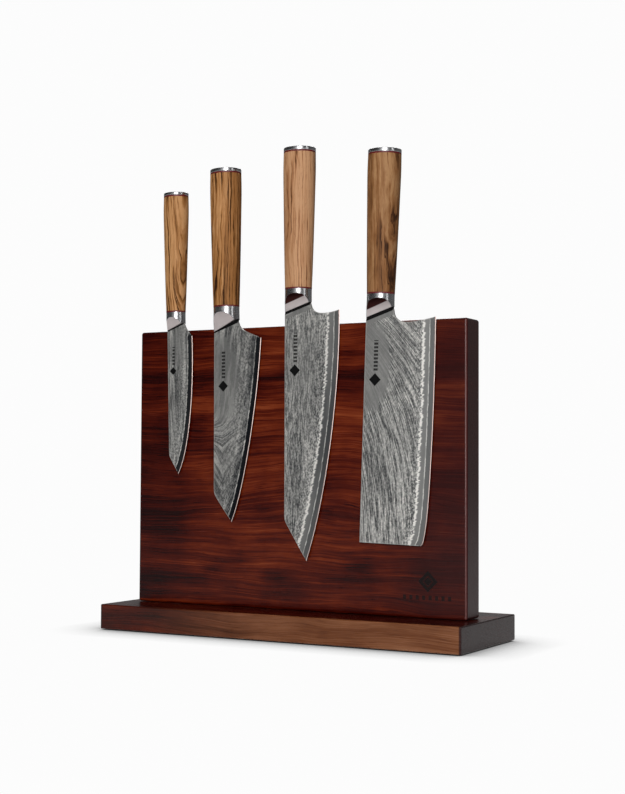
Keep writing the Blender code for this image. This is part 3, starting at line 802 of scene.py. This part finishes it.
def jacket_tone(g, look, x, z, edge):
    """The lightness of the patterned jacket, its figure and its finest grain."""
    seed = look["seed"]
    curve = streak_curve(g, look, x, z, edge)
    bands = g.noise(curve * 0.16, seed + 2.0, z * 0.01, 2.0)
    streaks = g.noise(curve * look["pitch"], seed + 4.0, z * look["length"], 2.0, 0.6)
    dots = g.noise(x * 0.85, seed + 8.0, z * 0.55, 3.0, 0.6)
    grain = g.noise(x * 1.7, seed + 12.0, z * 1.1, 2.0, 0.6)
    streaks = g.step(streaks, 0.4, 0.6)
    dots = g.step(dots, 0.38, 0.62)
    near = g.bell(edge, look["weld_at"] + 1.0, 6.5)
    lined = look["streaks"] * (1.0 - near * 0.6)
    dotted = look["dots"] * (0.7 + near * 0.8)
    figure = (streaks - 0.5) * lined + (dots - 0.5) * dotted
    figure = figure + (grain - 0.5) * 0.35 + (bands - 0.5) * look["bands"]
    calm_x, calm_z, calm_wide, calm_tall, calm_share = look["calm"]
    ragged = (g.noise(x * 0.12, seed + 16.0, z * 0.07, 4.0, 0.65) - 0.5) * 1.6
    off_x, off_z = (x - calm_x) / calm_wide, (z - calm_z) / calm_tall
    calm = g.step(off_x * off_x + off_z * off_z + ragged, 1.25, 0.75) * calm_share
    figure = figure * (1.0 - calm)
    drift = g.noise(x * 0.04, seed + 30.0, z * 0.022, 2.0) - 0.5
    tone = figure * look["contrast"] * (0.9 + drift * 0.7) + look["level"] + drift * 0.16
    tone = tone + calm * look.get("calm_tone", 0.0) - g.step(edge, look["weld_at"] + 1.0, 4.5) * look["shade"]
    return tone, figure, grain


def welded(g, look, jacket, z, edge):
    """Joins the jacket to the exposed core by a jagged weld, with a thin line inside it. Returns the
    lightness, a mask of the core, the weld and the core's smears."""
    seed = look["seed"]
    turn = g.math("FRACT", z / 5.8 + (g.noise(seed, 2.0, z * 0.2, 2.0) - 0.5) * 3.0)
    scallop = turn * 1.5 - 0.75
    jag = scallop * 0.9 + (g.noise(seed, 9.0, z * 0.5, 2.0, 0.6) - 0.5) * 1.8
    dashes = 0.3 + g.step(g.noise(seed, 21.0, z * 0.25, 2.0, 0.6), 0.4, 0.52) * 0.7
    weld = g.bell(edge + jag, look["weld_at"], 0.9) * look["weld"] * dashes
    sway = (g.noise(seed, 14.0, z * 0.14, 3.0, 0.65) - 0.5) * 1.5
    broken = 0.45 + g.step(g.noise(seed, 28.0, z * 0.1, 3.0, 0.7), 0.42, 0.55) * 0.55
    line = g.bell(edge + sway, 4.7, 0.38) * look["core_line"] * broken
    core_at = look.get("core_at", look["weld_at"])
    core = g.step(edge + jag * 0.8, core_at - 0.2, core_at - 0.8)
    inner = g.step(edge + sway, 4.9, 4.5)
    height, reach, amount = look["dim"]
    dim = 1.0 - g.bell(z, height, reach) * amount
    smear = (g.noise(edge * 0.25, seed + 26.0, z * 0.02, 3.0, 0.6) - 0.5) * 0.2
    bare_core_and_painted_sheen = (look["core"] + smear) * (1.0 - inner) + (look["band"] + smear * 0.4) * inner
    return jacket * (1.0 - core) + bare_core_and_painted_sheen * dim * core + weld + line, core, weld, smear


def damascus(knife, look, seam):
    """Etched layered steel: a bright bevel, whose pinkish white is partly a painted highlight, an exposed
    core and a patterned jacket, joined by a jagged weld.
    """
    g = Graph(f"{knife.name}_damascus")
    x, y, z = g.places(knife.origin, knife.lean)
    edge, rim = g.attribute("edge_mm"), g.attribute("rim_mm")
    jacket, figure, grain = jacket_tone(g, look, x, z, edge)
    tone, core, weld, smear = welded(g, look, jacket, z, edge)
    if "apron" in look:
        start, oblique = seam
        down = start - z * math.cos(oblique) + x * math.sin(oblique)
        apron = g.step(down + (grain - 0.5) * 0.5, look["apron"] + 0.4, look["apron"] - 0.4)
        tone = tone * (1.0 - apron) + apron * (0.52 + smear)
    # The bevel is lighter for its polish, and its pinkish white is a painted highlight.
    bevel = g.step(edge, 0.6, 0.45)
    tone = tone * (1.0 - bevel) + bevel * look["bevel"]
    # A painted highlight along the spine and the tip, away from the cutting edge.
    rim_line = g.step(rim, 0.8, 0.5) * g.step(edge, 1.5, 2.5)
    tone = tone * (1.0 - rim_line * 0.6) + rim_line * 0.6 * 0.75
    colour = g.ramp(g.clamp(tone), *ETCH)
    radius, mark_x, mark_z, *span = look["mark"]
    ink = lozenge(g, x, z, mark_x, mark_z, radius)
    ticks = tick_row(g, z, x, span, mark_x + 0.4, radius * 0.36, 2.9, 1.8)
    ink = g.clamp(ink + ticks * 0.9) * g.step(y, 0.0, -0.1)
    colour = g.mix(bevel, colour, linear(186, 164, 158))
    colour = g.mix(ink, colour, linear(9, 9, 10))
    rough = 0.46 - g.clamp(tone) * 0.1 + grain * 0.06 + bevel * 0.06
    g.bump((figure * 0.8 + weld * 0.4) * (1.0 - core), 0.03, 0.4)
    rough = rough * (1.0 - ink) + ink * 0.35
    metallic = 0.82 - ink * 0.77
    return g.finish(Base_Color=colour, Metallic=metallic, Roughness=rough, Specular_IOR_Level=0.15)


def bolster_shape(knife):
    """Half depth, half width and the two corners of the oblique end of the CAD bolster."""
    points = knife.points("bolster")
    depth = max(p.y for p in points)
    top = [p for p in points if p.z > -0.3]
    half = max(p.x for p in top)
    low = [p for p in points if abs(p.y) < 1.45]
    left = min(low, key=lambda p: p.x + p.z)
    right_x = max(p.x for p in points)
    end = [p for p in low if p.x > right_x - 0.7]
    right = min(end, key=lambda p: p.z)
    return depth, half, left, right


def groove(knife, section, lean, side):
    """A cutter across one side of a bolster, from (up, out) pairs in a frame with that lean."""
    bm = bmesh.new()
    cos, sin = math.cos(lean), math.sin(lean)
    rings = [
        [Vector((along * cos - up * sin, side * out, along * sin + up * cos)) for up, out in section]
        for along in (-40, 40)
    ]
    loft(bm, rings)
    return knife.place(bm)


def make_bolster(knife, steel, seam, look):
    """An oval bolster with an oblique end and a hollow ground into each side."""
    depth, half, left, right = bolster_shape(knife)
    middle_z = (left.z + right.z) / 2
    centre, foot_half = (left.x + right.x) / 2, (right.x - left.x) / 2
    bm = bmesh.new()
    rings = []
    for i in range(49):
        z = (left.z - 3.0) * (1 - i / 48) + 0.05 * (i / 48)
        share = min(1.0, max(0.0, (z / middle_z - 0.3) / 0.7))
        share = share * share * (3 - 2 * share)
        rings.append(oval(half + (foot_half - half) * share, depth, z, centre * share, 128))
    loft(bm, rings)
    normal = Vector((left.z - right.z, 0.0, right.x - left.x)).normalized()
    whole = bm.verts[:] + bm.edges[:] + bm.faces[:]
    bmesh.ops.bisect_plane(bm, geom=whole, plane_co=left, plane_no=normal, clear_inner=True)
    bmesh.ops.holes_fill(bm, edges=[e for e in bm.edges if e.is_boundary])
    knife.place(bm)
    name = f"{knife.name}_bolster"
    piece = add_piece(f"{name}_steel", bm, steel, knife.body, "bright_steel", name)

    # A notch leaves a step along the oblique end, which the steel's material paints black as its shadow, and
    # a hollow runs up from it. Both start a little clear of the blade.
    notch_out, foot_out = 1.25, 1.5
    start, lean = seam
    radius, slope, share = look["grind"]
    tilt = lean * share
    foot = look["line"][0] * math.cos(tilt) - left.x * math.sin(tilt)
    hollow = [(foot - 9.0, foot_out), (foot, foot_out)]
    first = math.radians(slope)
    for i in range(1, 41):
        turn = first + (math.radians(89) - first) * i / 40
        up = foot + radius * (math.sin(turn) - math.sin(first))
        hollow.append((up, foot_out + radius * (math.cos(first) - math.cos(turn))))
        if hollow[-1][1] > depth + 2:
            break
    far = hollow[-1][1] + 3.0
    hollow += [(hollow[-1][0], far), (foot - 9.0, far)]
    notch = [(start - 9.0, notch_out), (start, notch_out), (start, far), (start - 9.0, far)]
    cutters = []
    for side in (-1, 1):
        cutters += [groove(knife, notch, lean, side), groove(knife, hollow, tilt, side)]
    cut(piece, *cutters)
    smooth(piece, 24.0)
    even_normals(piece)


def grind_seam(knife, look):
    """The line on the bolster where the painted black shadow of its step ends: a height, across a frame with
    that lean.
    """
    _, _, left, right = bolster_shape(knife)
    low, high = look["line"]
    lean = math.atan2(high - low, right.x - left.x)
    return low * math.cos(lean) - left.x * math.sin(lean), lean


def make_knife(name, look, fibre):
    knife = Knife(name)
    seam = grind_seam(knife, look["bolster"])
    steel = bright_steel(knife, seam, look["bolster"])
    make_blade(knife, damascus(knife, look["blade"], seam))
    make_bolster(knife, steel, seam, look["bolster"])
    liner_low, liner_high = knife.heights("front_liner")
    wood_low, wood_high = knife.heights("handle")
    rear_low, rear_high = knife.heights("rear_liner")
    cap_low, cap_high = knife.heights("end_cap")
    swell = knife.widths("handle")
    depth, bolster_half, _, _ = bolster_shape(knife)
    roundness = depth / bolster_half
    front_half = max(a for _, a in knife.widths("front_liner"))
    cap_half = max(a for _, a in knife.widths("rear_liner"))

    def width(z):
        """The swelling of the handle without its corners: a mean over 14 mm of height. It is held to the
        bolster's width at one end and to the cap's at the other."""
        def smoothed(height):
            return sum(sample(swell, height + d) for d in range(-7, 8)) / 15
        near, far = max(0.0, 1.0 - z / 12.0), max(0.0, 1.0 - (wood_high - z) / 12.0)
        half = smoothed(z) + (front_half - smoothed(0.0)) * near + (cap_half - smoothed(wood_high)) * far
        return half, half * roundness

    def cap_width(z):
        return cap_half, cap_half * roundness

    joint = (liner_high + wood_low) / 2
    rear_joint = (wood_high + rear_low) / 2
    cap_joint = (rear_high + cap_low) / 2
    bar_piece(knife, "front_liner", f"{name}_front_spacer", fibre, "red_fibre", 0.05, joint, width, 0.08)
    wood = olive_wood(knife, look["wood"])
    bar_piece(knife, "handle", f"{name}_grip", wood, "olive_wood", joint, rear_joint, width, 0.12, 60)
    spacer, cap = f"{name}_rear_spacer", f"{name}_butt_cap"
    bar_piece(knife, "rear_liner", spacer, fibre, "red_fibre", rear_joint, cap_joint, cap_width, 0.08)
    bar_piece(knife, "end_cap", cap, steel, "bright_steel", cap_joint, cap_high, cap_width, 0.55)


def shades(*colours):
    return [linear(*colour) for colour in colours]


# Handle woods, from pale to dark.
GOLDEN = shades((206, 154, 104), (172, 118, 68), (140, 92, 48), (92, 56, 24), (52, 28, 12))
ROSY = shades((206, 158, 118), (182, 130, 90), (154, 104, 68), (106, 66, 36), (64, 36, 18))
BROWN = shades((178, 134, 92), (142, 96, 58), (116, 76, 44), (84, 52, 30), (50, 30, 18))
# Lengths are in millimetres in the knife's own frame.
# Blade: fan holds the streaks' foot, reach, lean and spread; parallel turns them along the edge; chevron is
# an axis and the heights between which they turn to arrow shapes; calm is the middle, size and share of a
# quieter area; core_at is where the jacket ends, if not at the weld; dim darkens the core at a height; mark
# is a lozenge's size and place, then the reach of the ticks.
# Bolster: line is the step's height at the spine and at the heel, below which the steel is painted black as
# the step's shadow; grind is the hollow's radius, first slope and share of the lean; strip is the width of
# its pale part, above which the hollow is painted dark as a reflection.
# Wood: pith is the centre of the rings, which drift and slant along the handle.
KNIVES = {
    "utility": {
        "blade": {
            "seed": 3.1, "fan": (-136.0, 115.0, 0.03, 0.0), "warp": 5.0, "pitch": 0.45,
            "length": 0.035, "streaks": 0.55, "dots": 0.3, "bands": 0.8, "contrast": 0.75, "level": 0.57,
            "calm": (4.0, -30.0, 9.0, 16.0, 0.6), "dim": (-70.0, 30.0, 0.3),
            "weld_at": 8.0, "weld": 0.16, "core_line": 0.62, "core": 0.3, "core_at": 4.8, "band": 0.06,
            "bevel": 0.62, "shade": 0.14, "mark": (3.4, -2.2, -49.5, -45.0, -29.0),
        },
        "bolster": {"line": (-14.9, -8.9), "grind": (28.0, 15.4, 0.0), "strip": 90.0},
        "wood": {
            "seed": 1.7, "drift": 6.0, "slant": 0.03, "pith": (-24.0, 9.0), "wave": 2.4, "rings": 0.5,
            "lines_from": 0.38, "line_depth": 0.7, "hair": 0.6, "early": 0.45, "shift": -0.17,
            "cloud": 0.3, "colours": GOLDEN,
        },
    },
    "bunka": {
        "blade": {
            "seed": 8.4, "fan": (-178.0, 150.0, 0.0, 0.0), "parallel": 0.85, "warp": 5.0, "pitch": 0.42,
            "length": 0.05, "streaks": 0.55, "dots": 0.34, "bands": 0.7, "contrast": 0.66, "level": 0.53,
            "chevron": (-4.0, -118.0, -88.0), "calm": (-3.0, -58.0, 15.0, 36.0, 0.7),
            "dim": (-100.0, 60.0, 0.25), "weld_at": 11.5, "weld": 0.14, "core_line": 0.72, "core": 0.36,
            "core_at": 4.8, "shade": 0.22, "band": 0.01, "bevel": 0.66,
            "mark": (4.7, -3.0, -65.5, -59.5, -36.0),
        },
        "bolster": {"line": (-19.9, -10.2), "grind": (24.8, 6.5, 0.0), "strip": 90.0},
        "wood": {
            "seed": 12.3, "drift": 8.0, "slant": -0.02, "pith": (21.0, 12.0), "wave": 3.4, "rings": 0.36,
            "lines_from": 0.36, "line_depth": 0.72, "hair": 0.5, "early": 0.3, "shift": 0.0,
            "cloud": 0.4, "colours": GOLDEN,
        },
    },
    "chef": {
        "blade": {
            "seed": 15.2, "fan": (-218.0, 190.0, 0.02, 0.0), "warp": 4.0, "pitch": 0.75,
            "length": 0.1, "streaks": 0.6, "dots": 0.6, "bands": 1.0, "contrast": 0.56, "level": 0.57,
            "calm": (0.0, -60.0, 13.0, 26.0, 0.3), "dim": (-120.0, 45.0, 0.35),
            "weld_at": 10.4, "weld": 0.95, "core_line": 0.62, "core": 0.42, "band": 0.32, "bevel": 0.66,
            "shade": 0.0, "mark": (4.9, -2.2, -65.5, -59.5, -35.0), "apron": 5.8,
        },
        "bolster": {"line": (-17.9, -10.5), "grind": (16.2, 5.0, 0.4), "strip": 5.4},
        "wood": {
            "seed": 22.9, "drift": 5.0, "slant": 0.03, "pith": (26.0, 14.0), "wave": 2.0, "rings": 0.27,
            "lines_from": 0.4, "line_depth": 0.85, "hair": 0.4, "early": 0.55, "shift": -0.18,
            "cloud": 0.25, "colours": ROSY,
        },
    },
    "nakiri": {
        "blade": {
            "seed": 31.6, "fan": (-195.0, 175.0, 0.08, 1.0), "warp": 3.4, "pitch": 1.0,
            "length": 0.06, "streaks": 0.8, "dots": 0.55, "bands": 0.4, "contrast": 0.58, "level": 0.56,
            "calm": (-4.0, -56.0, 14.0, 34.0, 0.85), "calm_tone": -0.04, "dim": (-100.0, 60.0, 0.05),
            "weld_at": 9.8, "weld": 0.95, "core_line": 0.5, "core": 0.46, "band": 0.36, "bevel": 0.45,
            "shade": 0.0, "mark": (5.1, -2.6, -67.0, -60.5, -36.0), "apron": 6.2,
        },
        "bolster": {"line": (-17.9, -9.7), "grind": (16.2, 5.0, 0.4), "strip": 5.0},
        "wood": {
            "seed": 41.5, "drift": 6.0, "slant": 0.0, "pith": (-22.0, 12.0), "wave": 3.0, "rings": 0.4,
            "lines_from": 0.42, "line_depth": 0.5, "hair": 0.5, "early": 0.4, "shift": -0.1,
            "cloud": 0.7, "colours": BROWN,
        },
    },
}


# ------------------------------------------------------------------ hidden hardware
def hardware_materials():
    def metal(name, dark, light, rough, scale):
        g = Graph(name)
        x, y, z = g.places()
        cloud = g.noise(x * scale, y * scale, z * scale, 4.0, 0.6)
        colour = g.ramp(cloud, (0.3, dark), (0.7, light))
        g.bump(cloud, 0.02, 0.2)
        return g.finish(Base_Color=colour, Metallic=1.0, Roughness=rough + cloud * 0.12)

    nickel = metal("magnet_nickel", linear(150, 150, 152), linear(184, 184, 186), 0.2, 0.2)
    zinc = metal("screw_zinc", linear(140, 136, 120), linear(186, 182, 162), 0.3, 0.8)
    g = Graph("dowel_beech")
    x, y, z = g.places()
    fibre = g.noise(x * 2.0, y * 2.0, z * 0.2, 4.0, 0.6)
    colour = g.ramp(fibre, (0.3, linear(176, 136, 98)), (0.7, linear(206, 168, 126)))
    g.bump(fibre, 0.1, 0.4)
    beech = g.finish(Base_Color=colour, Roughness=0.6 + fibre * 0.15)
    for start, material in (("magnet_", nickel), ("panel_screw_", zinc), ("panel_dowel_", beech)):
        for name in named(start):
            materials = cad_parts[name].data.materials
            materials.clear()
            materials.append(material)


# ------------------------------------------------------------------ stage, light and camera
LIT_POINT = Vector((0.0, -0.02, 0.2))
LIGHT_DISTANCE = 2.2


def area_light(name, azimuth, elevation, size, power):
    """A soft box aimed at the object. Azimuth 0 is straight in front of the panel, 90 to its right."""
    turn, rise = math.radians(azimuth), math.radians(elevation)
    away = Vector((math.sin(turn) * math.cos(rise), -math.cos(turn) * math.cos(rise), math.sin(rise)))
    data = bpy.data.lights.new(name, "AREA")
    data.shape, data.size, data.size_y = "RECTANGLE", size[0], size[1]
    data.energy = power
    light = add_object(name, data)
    light.location = LIT_POINT + away * LIGHT_DISTANCE
    light.rotation_euler = (-away).to_track_quat("-Z", "Y").to_euler()
    light.visible_camera = False


def make_world():
    world = bpy.data.worlds.new("studio")
    bpy.context.scene.world = world
    world.use_nodes = True
    g = Graph("", world.node_tree)
    coords = g.nodes.new("ShaderNodeTexCoord")
    split = g.nodes.new("ShaderNodeSeparateXYZ")
    g.links.new(coords.outputs["Generated"], split.inputs[0])
    dx, dy, dz = [Value(g, socket) for socket in split.outputs]
    azimuth = g.math("ARCTAN2", dx, dy * -1.0) * (180 / math.pi)
    low = g.step(dz, 0.75, 0.2)
    left = g.bell(azimuth, -8.0, 12.0) * low
    behind = g.step(g.abs(azimuth), 80.0, 125.0)
    tone = 0.05 + left * 0.4 + behind * 0.11
    path = g.nodes.new("ShaderNodeLightPath")
    seen = Value(g, path.outputs["Is Camera Ray"])
    back = g.nodes["Background"]
    g.put(back.inputs["Color"], g.grey(tone * (1.0 - seen) + seen * 0.975))
    back.inputs["Strength"].default_value = 1.0


def make_floor():
    bm = bmesh.new()
    bmesh.ops.create_grid(bm, x_segments=2, y_segments=2, size=30.0)
    floor = mesh_object("floor", bm)
    g = Graph("floor_white")
    shade = g.nodes.new("ShaderNodeBsdfDiffuse")
    openness = g.nodes.new("ShaderNodeAmbientOcclusion")
    openness.samples = 8
    openness.inputs["Distance"].default_value = 0.045
    glow = g.nodes.new("ShaderNodeEmission")
    path = g.nodes.new("ShaderNodeLightPath")
    seen, glossy = Value(g, path.outputs["Is Camera Ray"]), Value(g, path.outputs["Is Glossy Ray"])
    # For camera rays the floor glows an even white, darkened near the stand by ambient occlusion: a painted
    # contact shadow.
    lit = Value(g, openness.outputs["AO"]) ** 1.6 * 0.975
    g.put(glow.inputs["Color"], g.grey(seen * lit + glossy * 0.13))
    g.put(shade.inputs["Color"], g.grey((glossy * 0.6 + 0.25) * (1.0 - seen)))
    both = g.nodes.new("ShaderNodeAddShader")
    g.links.new(shade.outputs[0], both.inputs[0])
    g.links.new(glow.outputs[0], both.inputs[1])
    g.links.new(both.outputs[0], g.nodes["Material Output"].inputs["Surface"])
    floor.data.materials.append(g.material)


def make_camera():
    azimuth, pitch, roll = (math.radians(a) for a in (29.07, 2.56, 0.29))
    flat = math.cos(pitch)
    ahead = Vector((-math.sin(azimuth) * flat, math.cos(azimuth) * flat, math.sin(pitch)))
    level = Vector((math.cos(azimuth), math.sin(azimuth), 0.0))
    above = level.cross(ahead)
    right = level * math.cos(roll) + above * math.sin(roll)
    up = above * math.cos(roll) - level * math.sin(roll)
    place = Vector((0.0, 0.0, 0.194)) + level * 0.0075 - ahead * 1.196
    data = bpy.data.cameras.new("camera")
    data.sensor_width, data.lens = 36.0, 66.15
    data.clip_end = 200.0
    camera = add_object("camera", data)
    turn = Matrix((right, up, -ahead)).transposed().to_4x4()
    camera.matrix_world = Matrix.Translation(place) @ turn
    bpy.context.scene.camera = camera


def main():
    fibre = red_fibre()
    make_stand()
    make_feet()
    hardware_materials()
    for name, look in KNIVES.items():
        make_knife(name, look, fibre)
    make_world()
    make_floor()
    area_light("key", 15.0, 14.0, (0.55, 1.6), 38.0)
    area_light("back_fill", 205.0, 38.0, (0.9, 0.9), 16.0)
    area_light("right_strip", 66.0, 10.0, (0.24, 1.4), 3.2)
    make_camera()
    scene = bpy.context.scene
    scene.view_settings.view_transform = "Standard"
    scene.view_settings.look = "None"


main()
